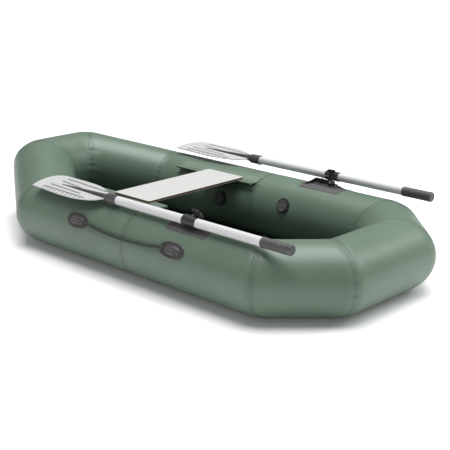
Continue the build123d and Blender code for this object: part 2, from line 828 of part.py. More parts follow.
# ---- the boat
make_hull()
make_seat()
make_valve("aft", valve_aft_x, valve_aft_angle)
make_valve("fore", valve_fore_x, valve_fore_angle)
for side_name, side_sign in SIDES.items():
    parts["rope_fittings_" + side_name] = make_fittings(side_sign)
    parts["grab_rope_" + side_name] = make_rope(side_sign)
    parts["oarlock_base_" + side_name] = oarlock_base(side_sign)
    parts["rock_pin_" + side_name] = rock_pin(side_sign)
    parts["oarlock_swivel_" + side_name] = rocked(swivel(), side_name)
    parts["oar_collar_" + side_name] = rocked(collar(), side_name)
    parts["clamp_knob_" + side_name] = rocked(knob(), side_name)
    make_oar(side_name)

os.makedirs("parts", exist_ok=True)
for part_name, shape in parts.items():
    export_step(shape, "parts/" + part_name + ".step")
print(len(parts), "parts")
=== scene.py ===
import json
import math
import random

import bmesh
import bpy
from mathutils import Matrix, Vector, noise


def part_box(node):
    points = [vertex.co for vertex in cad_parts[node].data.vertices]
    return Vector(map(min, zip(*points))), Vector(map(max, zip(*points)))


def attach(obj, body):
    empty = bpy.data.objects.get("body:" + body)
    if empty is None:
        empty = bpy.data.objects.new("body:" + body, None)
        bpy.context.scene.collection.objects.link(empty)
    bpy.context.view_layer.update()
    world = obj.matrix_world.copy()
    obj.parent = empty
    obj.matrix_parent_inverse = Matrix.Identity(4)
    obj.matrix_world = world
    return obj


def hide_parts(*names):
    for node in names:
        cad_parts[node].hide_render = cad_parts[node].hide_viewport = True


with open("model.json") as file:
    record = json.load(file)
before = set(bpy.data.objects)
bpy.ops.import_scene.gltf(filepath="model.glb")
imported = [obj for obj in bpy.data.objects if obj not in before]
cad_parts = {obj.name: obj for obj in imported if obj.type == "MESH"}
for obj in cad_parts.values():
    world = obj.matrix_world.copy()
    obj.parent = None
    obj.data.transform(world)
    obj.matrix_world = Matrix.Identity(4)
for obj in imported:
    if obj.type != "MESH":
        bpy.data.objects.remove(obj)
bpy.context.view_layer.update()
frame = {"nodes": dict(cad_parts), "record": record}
random.seed(7)
print("frame loaded:", len(frame["nodes"]), "CAD nodes")


def lookAt(thing, place, aim):
    thing.location = place
    thing.rotation_euler = (Vector(aim) - Vector(place)).to_track_quat("-Z", "Y").to_euler()
    bpy.context.scene.collection.objects.link(thing)
    return thing


def makeCamera():
    settings = {
        "place": (3.0099, -2.9322, 1.3853),
        "aim": (0.0944, 0.0707, 0.140),
        "lens": 82.1,
        "shift": (0.0030, -0.0148),
    }
    data = bpy.data.cameras.new("productCamera")
    data.lens = settings["lens"]
    data.shift_x, data.shift_y = settings["shift"]
    camera = bpy.data.objects.new("productCamera", data)
    bpy.context.scene.camera = lookAt(camera, settings["place"], settings["aim"])


def makeLights():
    sky = {
        "ambient": 0.25,
        "power": 3.1,
        "angle": math.radians(48),
        "place": (-0.2, 0.4, 4.0),
        "aim": (0, 0, 0),
    }
    world = bpy.data.worlds.new("paleStudio")
    world.use_nodes = True
    background = world.node_tree.nodes["Background"]
    background.inputs["Color"].default_value = (1.0, 1.0, 1.0, 1.0)
    background.inputs["Strength"].default_value = sky["ambient"]
    bpy.context.scene.world = world
    data = bpy.data.lights.new("softSky", "SUN")
    data.energy = sky["power"]
    data.angle = sky["angle"]
    lookAt(bpy.data.objects.new("softSky", data), sky["place"], sky["aim"])
    lamps = {
        "overhead": {"place": (-0.3, 0.6, 2.6), "aim": (0, 0, 0.1), "size": 2.0, "power": 12},
        "sternRim": {"place": (2.4, 2.0, 2.4), "aim": (0.7, 0, 0.2), "size": 1.8, "power": 46},
        "bowSide": {"place": (-1.6, -2.6, 1.8), "aim": (-0.2, 0.2, 0.1), "size": 1.6, "power": 3},
    }
    for name, lamp in lamps.items():
        data = bpy.data.lights.new(name, "AREA")
        data.size = lamp["size"]
        data.energy = lamp["power"]
        lookAt(bpy.data.objects.new(name, data), lamp["place"], lamp["aim"])


class Value:
    def __init__(self, paint, socket):
        self.paint = paint
        self.socket = socket

    def math(self, operation, *others):
        values = dict(enumerate((self, *others)))
        return self.paint.node("ShaderNodeMath", {"operation": operation}, values)

    def reflected(self, operation, other):
        return self.paint.node("ShaderNodeMath", {"operation": operation}, {0: other, 1: self})

    def __add__(self, other):
        return self.math("ADD", other)

    def __sub__(self, other):
        return self.math("SUBTRACT", other)

    def __rsub__(self, other):
        return self.reflected("SUBTRACT", other)

    def __mul__(self, other):
        return self.math("MULTIPLY", other)

    __radd__ = __add__
    __rmul__ = __mul__

    def __abs__(self):
        return self.math("ABSOLUTE")

    def __getitem__(self, output):
        return Value(self.paint, self.socket.node.outputs[output])


class Paint:
    def __init__(self, name):
        self.material = bpy.data.materials.new(name)
        self.material.use_nodes = True
        self.tree = self.material.node_tree
        self.tree.nodes.clear()
        self.object = self.node("ShaderNodeTexCoord")["Object"]

    def node(self, kind, settings=None, values=None):
        made = self.tree.nodes.new(kind)
        for key, value in (settings or {}).items():
            if key == "stops":
                ramp = made.color_ramp.elements
                while len(ramp) < len(value):
                    ramp.new(0.5)
                for stop, (place, colour) in zip(ramp, value):
                    stop.position = place
                    stop.color = (*colour, 1.0)
            else:
                setattr(made, key, value)
        for key, value in (values or {}).items():
            if isinstance(value, Value):
                self.tree.links.new(value.socket, made.inputs[key])
            else:
                made.inputs[key].default_value = value
        return Value(self, next(o for o in made.outputs if o.enabled))

    def stretched(self, scale):
        return self.node("ShaderNodeMapping", None, {"Vector": self.object, "Scale": scale})

    def noise(self, scale, detail=2.0, where=None):
        values = {"Vector": where or self.object, "Scale": scale, "Detail": detail}
        return self.node("ShaderNodeTexNoise", None, values)

    def mix(self, share, first, second):
        colours = [c if isinstance(c, Value) else (*c, 1.0) for c in (first, second)]
        return self.node("ShaderNodeMix", {"data_type": "RGBA"}, {0: share, 6: colours[0], 7: colours[1]})

    def clear(self, value, low, high):
        values = {"Value": value, "From Min": low, "From Max": high}
        return self.node("ShaderNodeMapRange", {"interpolation_type": "SMOOTHSTEP"}, values)

    def bump(self, height, strength, distance, under=None):
        values = {"Height": height, "Strength": strength, "Distance": distance}
        if under:
            values["Normal"] = under
        return self.node("ShaderNodeBump", None, values)

    def finish(self, **sockets):
        values = {key.replace("_", " "): value for key, value in sockets.items()}
        shader = self.node("ShaderNodeBsdfPrincipled", None, values)
        output = self.tree.nodes.new("ShaderNodeOutputMaterial")
        self.tree.links.new(shader.socket, output.inputs["Surface"])
        return self.material


def coatedFabric(name, light, dark, roughness):
    paint = Paint(name)
    patches = paint.clear(paint.noise(3.5, 3.0), 0.35, 0.7)
    rubbed = paint.clear(paint.noise(38.0, 4.0), 0.5, 0.8)
    colour = paint.mix(patches, dark, light)
    colour = paint.mix(rubbed * 0.12, colour, tuple(min(1.0, 1.5 * c) for c in light))
    threads = paint.node("ShaderNodeTexVoronoi", {"feature": "F1"}, {"Vector": paint.object, "Scale": 620.0})
    slack = paint.noise(9.0, 2.0)
    waves = paint.bump(slack, 0.35, 0.004)
    grain = paint.bump(threads, 0.10, 0.0004, waves)
    return paint.finish(Base_Color=colour, Roughness=roughness + 0.10 * rubbed, Normal=grain,
                        Coat_Weight=0.10, Coat_Roughness=0.35)


def laminatedPly():
    paint = Paint("laminatedPly")
    height = paint.node("ShaderNodeSeparateXYZ", None, {"Vector": paint.object})["Z"]
    low, high = (corner.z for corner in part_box("seat_board"))
    film = 0.0006
    face = paint.clear(abs(height - (low + high) / 2), (high - low) / 2 - 2 * film, (high - low) / 2 - film)
    bands = {"Vector": paint.object, "Scale": 110.0, "Distortion": 1.5, "Detail Scale": 0.6}
    layers = paint.node("ShaderNodeTexWave", {"bands_direction": "Z"}, bands)
    fibres = paint.noise(60.0, 5.0, paint.stretched((1.0, 1.0, 14.0)))
    edge = paint.mix(layers, (0.055, 0.022, 0.012), (0.20, 0.11, 0.060))
    edge = paint.mix(paint.clear(fibres, 0.45, 0.7) * 0.6, edge, (0.030, 0.014, 0.009))
    dust = paint.clear(paint.noise(22.0, 6.0), 0.55, 0.85)
    top = paint.mix(dust * 0.35, (0.56, 0.56, 0.55), (0.46, 0.46, 0.45))
    colour = paint.mix(face, edge, top)
    grain = paint.bump(fibres, 0.25, 0.0006)
    emboss = paint.bump(paint.noise(900.0, 2.0), 0.06, 0.0002, grain)
    return paint.finish(Base_Color=colour, Roughness=0.62 - 0.24 * face, Normal=emboss)


def mouldedPlastic(name, colour, worn, roughness, grain=700.0, depth=0.15):
    paint = Paint(name)
    scuffs = paint.clear(paint.noise(45.0, 6.0), 0.52, 0.72)
    dust = paint.clear(paint.noise(14.0, 3.0), 0.45, 0.8)
    mixed = paint.mix(scuffs * 0.45, colour, worn)
    mixed = paint.mix(dust * 0.25, mixed, worn)
    texture = paint.bump(paint.noise(grain, 3.0), depth, 0.0004)
    return paint.finish(Base_Color=mixed, Roughness=roughness + 0.12 * scuffs, Normal=texture)


def brushedSteel():
    paint = Paint("brushedSteel")
    lines = paint.noise(90.0, 4.0, paint.stretched((1.0, 18.0, 18.0)))
    colour = paint.mix(paint.clear(lines, 0.35, 0.7), (0.42, 0.42, 0.43), (0.62, 0.62, 0.63))
    return paint.finish(Base_Color=colour, Metallic=1.0, Roughness=0.26 + 0.2 * lines,
                        Normal=paint.bump(lines, 0.12, 0.0003))


def coatedShaft():
    paint = Paint("coatedShaft")
    draw = paint.noise(30.0, 4.0, paint.stretched((0.4, 26.0, 26.0)))
    marks = paint.clear(paint.noise(55.0, 6.0), 0.60, 0.74)
    colour = paint.mix(paint.clear(draw, 0.35, 0.75) * 0.5, (0.70, 0.70, 0.71), (0.61, 0.62, 0.63))
    colour = paint.mix(marks * 0.22, colour, (0.50, 0.51, 0.52))
    return paint.finish(Base_Color=colour, Roughness=0.34 + 0.15 * marks,
                        Normal=paint.bump(draw, 0.08, 0.0003), Coat_Weight=0.25, Coat_Roughness=0.18)


def ribbedBlade():
    paint = Paint("bladePlastic")
    groove = paint.node("ShaderNodeAttribute", {"attribute_name": "groove"})["Fac"]
    scuffs = paint.clear(paint.noise(40.0, 6.0), 0.56, 0.74)
    streaks = paint.clear(paint.noise(9.0, 4.0, paint.stretched((1.0, 6.0, 6.0))), 0.4, 0.8)
    colour = paint.mix(streaks * 0.5, (0.54, 0.55, 0.55), (0.44, 0.45, 0.45))
    colour = paint.mix(scuffs * 0.3, colour, (0.52, 0.53, 0.54))
    # the grooves are painted near-black: painted shade in the recesses, on top of their cut depth
    colour = paint.mix(groove * 0.92, colour, (0.035, 0.035, 0.037))
    skin = paint.bump(paint.noise(420.0, 3.0), 0.07, 0.0003)
    return paint.finish(Base_Color=colour, Roughness=0.36 + 0.14 * scuffs, Normal=skin)


def lockRubber():
    # the glued pad is brown-grey, what stands on it is black
    paint = Paint("lockRubber")
    place = paint.node("ShaderNodeSeparateXYZ", None, {"Vector": paint.object})
    beam = sum(c.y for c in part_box("aft_side_starboard")) / 2
    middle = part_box("aft_side_starboard")[1].z / 2
    out = abs(place["Y"]) - beam
    up = place["Z"] - middle
    reach = (out * out + up * up).math("SQRT")
    padTop = {"low": 0.0021, "high": 0.0034}
    raised = paint.clear(reach, middle + padTop["low"], middle + padTop["high"])
    scuffs = paint.clear(paint.noise(60.0, 5.0), 0.5, 0.75)
    pad = paint.mix(scuffs * 0.5, (0.085, 0.078, 0.080), (0.15, 0.14, 0.14))
    back = paint.mix(scuffs * 0.4, (0.016, 0.016, 0.017), (0.060, 0.060, 0.062))
    grain = paint.bump(paint.noise(650.0, 3.0), 0.18, 0.0004)
    colour = paint.mix(raised, pad, back)
    return paint.finish(Base_Color=colour, Roughness=0.52 - 0.12 * raised, Normal=grain)


def braidedCord():
    paint = Paint("braidedCord")
    fibres = paint.noise(1500.0, 3.0)
    tufts = paint.clear(paint.noise(420.0, 2.0), 0.55, 0.72)
    colour = paint.mix(fibres, (0.008, 0.014, 0.009), (0.034, 0.050, 0.036))
    colour = paint.mix(tufts * 0.4, colour, (0.10, 0.13, 0.10))
    return paint.finish(Base_Color=colour, Roughness=0.72, Normal=paint.bump(fibres, 0.5, 0.0004))


paints = {
    "hull_fabric": coatedFabric("hullFabric", (0.118, 0.178, 0.130), (0.103, 0.157, 0.114), 0.42),
    "inner_fabric": coatedFabric("innerFabric", (0.10, 0.13, 0.10), (0.07, 0.10, 0.07), 0.7),
    # floor fabric: its own dark green, darkened further as painted shade for the shaded cockpit
    "floor_fabric": coatedFabric("floorFabricDarkenedAsShade", (0.034, 0.050, 0.037), (0.024, 0.037, 0.027), 0.6),
    "seam_tape": coatedFabric("seamTape", (0.100, 0.151, 0.110), (0.088, 0.134, 0.097), 0.40),
    "board": laminatedPly(),
    "board_plastic": mouldedPlastic("clipPlastic", (0.08, 0.11, 0.08), (0.16, 0.19, 0.16), 0.45),
    # rail strip: the hull's green fabric painted lighter, as painted light on its upward-facing ledge
    "rail_rubber": coatedFabric("railStripPaintedLight", (0.160, 0.225, 0.170), (0.135, 0.192, 0.143), 0.46),
    "fitting_rubber": mouldedPlastic("fittingRubber", (0.050, 0.043, 0.046), (0.15, 0.13, 0.14), 0.36,
                                     500.0, 0.12),
    "rope": braidedCord(),
    "steel": brushedSteel(),
    "oarlock_plastic": mouldedPlastic("oarlockNylon", (0.020, 0.020, 0.021), (0.07, 0.07, 0.07), 0.36),
    "blade_plastic": ribbedBlade(),
    "socket_plastic": mouldedPlastic("socketPlastic", (0.055, 0.053, 0.056), (0.11, 0.11, 0.11), 0.42),
    "shaft_aluminium": coatedShaft(),
    "grip_plastic": mouldedPlastic("gripPlastic", (0.060, 0.058, 0.060), (0.18, 0.18, 0.18), 0.5, 260.0, 0.5),
    "valve_plastic": mouldedPlastic("valvePlastic", (0.030, 0.031, 0.032), (0.09, 0.09, 0.09), 0.4),
    "valve_seal": mouldedPlastic("valveSeal", (0.06, 0.06, 0.06), (0.10, 0.10, 0.10), 0.6),
}
for entry in frame["record"]["subparts"]:
    skinOf = frame["nodes"][entry["node"]].data
    skinOf.materials.clear()
    skinOf.materials.append(paints[entry["material_slot"]])
lockPad = lockRubber()
for side in ("port", "starboard"):
    frame["nodes"]["oarlock_base_" + side].data.materials[0] = lockPad
capPlastic = mouldedPlastic("valveCapPlastic", (0.085, 0.088, 0.088), (0.17, 0.17, 0.17), 0.36)
for which in ("aft", "fore"):
    frame["nodes"]["valve_cap_" + which].data.materials[0] = capPlastic
print("materials:", len(paints))


def newPiece(name, shape, slotName, body, *nodes, smooth=True):
    mesh = bpy.data.meshes.new(name)
    shape.to_mesh(mesh)
    shape.free()
    for face in mesh.polygons:
        face.use_smooth = smooth
    piece = bpy.data.objects.new(name, mesh)
    bpy.context.scene.collection.objects.link(piece)
    mesh.materials.append(paints[slotName])
    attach(piece, body)
    if nodes:
        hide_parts(*nodes)
    return piece


def facesOut(shape):
    bmesh.ops.recalc_face_normals(shape, faces=shape.faces)
    if shape.calc_volume(signed=True) < 0:
        bmesh.ops.reverse_faces(shape, faces=shape.faces)


# the air tubes: a ring of straight tubes that meet in mitred seams
hull = {
    "radius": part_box("aft_side_port")[1].z / 2,
    "beam": sum(c.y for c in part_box("aft_side_starboard")) / 2,
    "sternX": sum(c.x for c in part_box("stern_tube")) / 2,
    "sternHalf": 0.188,
    "bowX": sum(c.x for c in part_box("bow_tube")) / 2,
    "bowZ": sum(c.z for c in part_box("bow_tube")) / 2,
    "bowHalf": 0.127,
    "bowCornerX": -0.546,
    "sternCornerX": 0.720,
    "splitX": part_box("aft_side_port")[0].x,
    "around": 144,
    "step": 0.009,
    "cornerRound": 0.10,  # radius of the bend at a corner's centreline
    "seamNeck": 0.0022,
    "lapAngle": math.radians(232),
    "lapWidth": 0.022,
    "lapRise": 0.0007,
    "slack": 0.0007,
    "seamWidth": 0.011,
    "gather": 0.0020,  # folds beside the seam where the two chambers meet
    "gatherReach": 0.08,
    "creaseReach": 0.14,
    "creaseDepth": 1.6,
    "flatUnder": 0.004,  # where the tubes rest on the ground
}


def swell(place, middle, width):
    return math.exp(-(((place - middle) / width) ** 2))


def eased(value):
    value = min(1.0, max(0.0, value))
    return value * value * (3 - 2 * value)


def hullRing():
    h = hull
    low = h["radius"]
    half = [
        (h["bowX"], h["bowHalf"], h["bowZ"]),
        (h["bowCornerX"], h["beam"], low),
        (h["splitX"], h["beam"], low),
        (h["sternCornerX"], h["beam"], low),
        (h["sternX"], h["sternHalf"], low),
    ]
    starboard = [Vector(p) for p in half]
    port = [Vector((p[0], -p[1], p[2])) for p in reversed(half)]
    return starboard + port


corners = hullRing()
count = len(corners)
splits = (2, 7)  # the two corners where the chambers meet


def buildTubes():
    headings = [(corners[(n + 1) % count] - corners[n]).normalized() for n in range(count)]
    seams = [(headings[n - 1] + headings[n]).normalized() for n in range(count)]
    out = Vector((-1, 0, 0))  # of the bow tube, the last in the list
    outs = {count - 1: out}
    for n in range(count - 1):
        before = outs[n - 1] if n else outs[count - 1]
        outs[n] = before - 2 * before.dot(seams[n]) * seams[n]
    tubes = []
    for n in range(count):
        tubes.append({
            "start": corners[n],
            "along": headings[n],
            "out": outs[n],
            "up": headings[n].cross(outs[n]),
            "length": (corners[(n + 1) % count] - corners[n]).length,
            "seams": (seams[n], seams[(n + 1) % count]),
        })
    return tubes


tubes = buildTubes()


def makeCreases():
    # little folds that run away from each seam: place round the tube, width, length, depth
    folds = {}
    for n in range(count):
        turning = tubes[n - 1]["along"].angle(tubes[n]["along"])
        folds[n] = []
        if n in splits:
            for _ in range(9):
                folds[n].append((random.uniform(0, 360), random.uniform(2.5, 5), random.uniform(0.012, 0.03),
                                 random.uniform(0.0005, 0.0012)))
            continue
        for _ in range(6):
            folds[n].append((random.gauss(14, 13) % 360, random.uniform(1.8, 3.0),
                             random.uniform(0.014, 0.030), turning * random.uniform(0.0012, 0.0024)))
        for _ in range(9):
            folds[n].append((random.gauss(180, 42) % 360, random.uniform(2.6, 5), random.uniform(0.02, 0.05),
                             turning * random.uniform(0.0005, 0.0014)))
    return folds


creases = makeCreases()


def skinPoint(n, angle, share=None, fromStart=None, fromEnd=None, lift=0.0):
    # a point on tube n's skin: angle round it from its outer side, and a share of its length or a
    # distance from one of its seams
    tube = tubes[n % count]
    radial = math.cos(angle) * tube["out"] + math.sin(angle) * tube["up"]
    radius = hull["radius"]
    first, last = (-(radial * radius).dot(seam) / tube["along"].dot(seam) for seam in tube["seams"])
    last += tube["length"]
    if share is not None:
        fromStart = (last - first) * share
    if fromStart is None:
        fromStart = last - first - fromEnd
    rise = lift
    sag = Vector()
    for corner, gap in ((n % count, fromStart), ((n + 1) % count, last - first - fromStart)):
        rise -= hull["seamNeck"] * swell(gap, 0, hull["seamWidth"])
        turning = tubes[corner - 1]["along"].angle(tubes[corner]["along"])
        reach = hull["cornerRound"] * math.tan(turning / 2)
        if gap < reach:
            depth = hull["cornerRound"] * (1 / math.cos(turning / 2) - 1)
            inward = (tubes[corner]["along"] - tubes[corner - 1]["along"]).normalized()
            sag += inward * depth * (1 - gap / reach) ** 2
        if corner in splits and gap < hull["gatherReach"]:
            uneven = 0.8 + 0.5 * noise.noise(Vector((2.5 * math.sin(angle), corner, gap)))
            inner = max(0.0, -math.cos(angle)) * uneven
            rise -= hull["gather"] * inner * (swell(gap, 0.021, 0.0055) + 0.7 * swell(gap, 0.041, 0.007))
        if gap < hull["creaseReach"]:
            for place, width, length, depth in creases[corner]:
                off = (math.degrees(angle) - place + 180) % 360 - 180
                fold = math.exp(-((off / width) ** 2)) - 0.45 * math.exp(-((off / width / 2.2) ** 2))
                rise -= hull["creaseDepth"] * depth * fold * math.exp(-((gap / length) ** 2))
    off = (angle - hull["lapAngle"] + math.pi) % (2 * math.pi) - math.pi
    edge = hull["lapWidth"] / 2 / radius
    rise += hull["lapRise"] / (1 + math.exp((abs(off) - edge) / 0.010))
    middle = tube["start"] + tube["along"] * (first + fromStart)
    flat = middle + radial * radius
    rise += hull["slack"] * noise.noise(flat * 7.0) + 0.35 * hull["slack"] * noise.noise(flat * 19.0)
    if flat.z < hull["flatUnder"]:
        rise = min(rise, 0.0)
    return middle + radial * (radius + rise) + sag


def loft(segments, rowCount, place, ring=False):
    # rings of points, one row after another; place(row, angle) says where each point goes
    shape = bmesh.new()
    bmesh.ops.create_circle(shape, segments=segments, radius=1.0)
    edges = shape.edges[:]
    for _ in range(rowCount - 1):
        grown = bmesh.ops.extrude_edge_only(shape, edges=edges)["geom"]
        verts = [e for e in grown if isinstance(e, bmesh.types.BMVert)]
        edges = [e for e in grown if isinstance(e, bmesh.types.BMEdge)]
        bmesh.ops.translate(shape, verts=verts, vec=(0, 0, 1))
    ends = [e for e in shape.edges if e.is_boundary]
    if ring:
        bmesh.ops.bridge_loops(shape, edges=ends)
    else:
        bmesh.ops.holes_fill(shape, edges=ends)
    for vert in shape.verts:
        vert.co = place(round(vert.co.z), math.atan2(vert.co.y, vert.co.x) % (2 * math.pi))
    facesOut(shape)
    return shape


def joined(shapes):
    whole = bmesh.new()
    for shape in shapes:
        part = bpy.data.meshes.new("part")
        shape.to_mesh(part)
        shape.free()
        whole.from_mesh(part)
        bpy.data.meshes.remove(part)
    return whole


def makeChamber(name, numbers, nodes):
    rows = []
    for n in numbers:
        steps = max(10, round(tubes[n % count]["length"] / hull["step"]))
        rows += [(n, k / steps) for k in range(0 if n == numbers[0] else 1, steps + 1)]

    def place(row, angle):
        tube, share = rows[row]
        return skinPoint(tube, angle, share)

    return newPiece(name, loft(hull["around"], len(rows), place), "hull_fabric", "hull", *nodes)


def makeTapes():
    # a tape's section: distance from the seam, and height over the skin
    half, tuck = 0.011, 0.001
    side = [(half / 2, 0.0006), (half, 0.0003), (half + tuck, -0.0012)]
    rows = [(-gap, lift) for gap, lift in reversed(side)] + [(0.0, 0.0007)] + side

    def onSeam(corner):
        def place(row, angle):
            gap, lift = rows[row]
            if gap < 0:
                return skinPoint(corner - 1, angle, fromEnd=-gap, lift=lift)
            return skinPoint(corner, angle, fromStart=gap, lift=lift)
        return place

    bands = [loft(hull["around"], len(rows), onSeam(corner), True) for corner in range(count)]
    return newPiece("seamTapes", joined(bands), "seam_tape", "hull", "seam_tapes")


def bothSides(*parts):
    return [part + side for part in parts for side in ("port", "starboard")]


foreNodes = ["bow_tube", *bothSides("bow_corner_", "fore_side_")]
aftNodes = ["stern_tube", *bothSides("stern_corner_", "aft_side_")]
makeChamber("foreChamber", [7, 8, 9, 10, 11], foreNodes)
makeChamber("aftChamber", [2, 3, 4, 5, 6], aftNodes)
makeTapes()
print("air chambers and seam tapes made")


baffle = {"crown": 0.018, "inset": 0.0012, "thickness": 0.001, "rows": 14}


def makeBaffles():
    # the sheets that part the two chambers, bowed a little by the last one pumped up
    discs = []
    for side in (1, -1):
        def place(row, angle, side=side):
            offset = row - baffle["rows"]
            share = abs(offset) / baffle["rows"]
            face = math.copysign(baffle["thickness"] / 2, offset) if offset else 0.0
            reach = (hull["radius"] - baffle["inset"]) * max(0.02, 1 - share)
            bow = baffle["crown"] * (1 - (1 - share) ** 2)
            y = side * hull["beam"] + reach * math.cos(angle)
            return Vector((hull["splitX"] - bow + face, y, hull["radius"] + reach * math.sin(angle)))
        discs.append(loft(64, 2 * baffle["rows"] + 1, place))
    return newPiece("chamberBaffles", joined(discs), "inner_fabric", "hull", "chamber_baffles")


floor = {"height": 0.012, "thickness": 0.001, "ripple": 0.0022, "glued": 0.05, "columns": 110, "rows": 44}


def floorLevel(x):
    corner = hull["bowCornerX"]
    return floor["height"] + max(0.0, corner - x) * (hull["bowZ"] - hull["radius"]) / (corner - hull["bowX"])


def makeFloor():
    # one sheet glued under the tubes all round, drawn tight, with soft ripples away from its edges
    reach = math.sqrt(hull["radius"] ** 2 - (hull["radius"] - floor["height"]) ** 2) - 0.0005
    shape = bmesh.new()
    bmesh.ops.create_grid(shape, x_segments=floor["columns"], y_segments=floor["rows"], size=1.0)
    bmesh.ops.scale(shape, vec=(0.95, 0.36, 1.0), verts=shape.verts)
    edges = []
    for n in range(count):
        a, b = corners[n].xy, corners[(n + 1) % count].xy
        out = Vector(((b - a).y, (a - b).x)).normalized()
        if out.dot(a + b - 2 * Vector((0.1, 0))) < 0:
            out.negate()
        edges.append((a - out * reach, out))
    for place, out in edges:
        bmesh.ops.bisect_plane(shape, geom=shape.verts[:] + shape.edges[:] + shape.faces[:], dist=1e-6,
                               plane_co=(*place, 0), plane_no=(*out, 0), clear_outer=True)
    fold = hull["bowCornerX"]
    bmesh.ops.bisect_plane(shape, geom=shape.verts[:] + shape.edges[:] + shape.faces[:], dist=1e-6,
                           plane_co=(fold, 0, 0), plane_no=(1, 0, 0))
    for vert in shape.verts:
        gap = min((place - vert.co.xy).dot(out) for place, out in edges)
        free = min(1.0, max(0.0, gap / floor["glued"]))
        wave = noise.noise(Vector((vert.co.x * 5.0, vert.co.y * 9.0, 0.3)))
        wave += 0.5 * noise.noise(Vector((vert.co.x * 17.0, vert.co.y * 13.0, 4.0)))
        vert.co.z = floorLevel(vert.co.x) + floor["ripple"] * wave * free
    area = sum(face.calc_area() for face in shape.faces)
    bmesh.ops.solidify(shape, geom=shape.faces[:], thickness=floor["thickness"])
    facesOut(shape)
    piece = newPiece("floorSheet", shape, "floor_fabric", "hull", "floor_sheet")
    print("floor area", round(area, 4))


makeBaffles()
makeFloor()


# grab ropes: the route's points are the distance along the boat and the angle from the tube's top
grab = {
    "route": (
        (-0.157, 66.0),
        (-0.108, 66.0),
        (-0.046, 70.2),
        (0.036, 72.4),
        (0.118, 72.9),
        (0.190, 72.0),
        (0.252, 70.2),
        (0.311, 66.0),
        (0.361, 66.0),
    ),
    "lineRadius": 0.147,
    "diameter": 0.011,
    "length": 0.52,
    "strands": 4,
    "lay": 0.036,
    "strandWide": 0.0052,
    "strandThick": 0.0010,
    "weave": 0.0005,
    "lane": 0.0044,
    "core": 0.0043,
    "fittingX": (-0.175, 0.379),
    "fittingAngle": math.radians(66.0),
    "patch": (0.062, 0.030),
    "boss": (0.038, 0.018),
    "bossRise": 0.0145,
}


def aroundTube(side, x, angle, radius):
    # a point by its angle from the top of a side tube, outboard
    y = side * (hull["beam"] + radius * math.sin(angle))
    return Vector((x, y, hull["radius"] + radius * math.cos(angle)))


def routeLine(side, name):
    data = bpy.data.curves.new(name, "CURVE")
    data.dimensions = "3D"
    data.resolution_u = 36
    spline = data.splines.new("NURBS")
    spline.points.add(len(grab["route"]) - 1)
    for point, (x, angle) in zip(spline.points, grab["route"]):
        point.co = (*aroundTube(side, x, math.radians(angle), grab["lineRadius"]), 1.0)
    spline.order_u = 3
    spline.use_endpoint_u = True
    guide = bpy.data.objects.new(name, data)
    line = bpy.data.meshes.new_from_object(guide)
    points = [v.co.copy() for v in line.vertices]
    bpy.data.meshes.remove(line)
    bpy.data.objects.remove(guide)
    bpy.data.curves.remove(data)
    return points


def makeRope(side, sideName):
    points = routeLine(side, "ropeRoute")
    travelled = [0.0]
    for a, b in zip(points, points[1:]):
        travelled.append(travelled[-1] + (b - a).length)
    frames = []
    for k, point in enumerate(points):
        along = (points[min(k + 1, len(points) - 1)] - points[max(k - 1, 0)]).normalized()
        out = point - Vector((point.x, side * hull["beam"], hull["radius"]))
        out = (out - out.dot(along) * along).normalized()
        frames.append((point, along, out, along.cross(out)))
    shapes = []

    def core(row, angle):
        point, along, out, across = frames[row]
        return point + grab["core"] * (math.cos(angle) * out + math.sin(angle) * across)

    shapes.append(loft(10, len(points), core))
    lane = grab["lane"]
    for hand in (1, -1):
        for number in range(grab["strands"]):
            def strand(row, angle, hand=hand, number=number):
                point, along, out, across = frames[row]
                phase = 2 * math.pi * travelled[row] / grab["lay"]
                turn = hand * phase + 2 * math.pi * number / grab["strands"]
                lift = lane + hand * grab["weave"] * math.cos(grab["strands"] * phase)
                spoke = math.cos(turn) * out + math.sin(turn) * across
                rim = math.cos(turn) * across - math.sin(turn) * out
                pitch = hand * 2 * math.pi * lane / grab["lay"]
                wide = (rim - pitch * along).normalized()
                return (point + lift * spoke + grab["strandThick"] * math.cos(angle) * spoke
                        + grab["strandWide"] / 2 * math.sin(angle) * wide)
            shapes.append(loft(8, len(points), strand))
    rope = newPiece("grabRope" + sideName, joined(shapes), "rope", "hull", "grab_rope_" + sideName.lower())
    tuple(points[0])
    grab["length"]
    grab["diameter"]
    [tuple(p) for p in points]
    return frames


def squared(value):
    # stretches a circle's sine or cosine towards a square's
    return math.copysign(abs(value) ** 0.72, value)


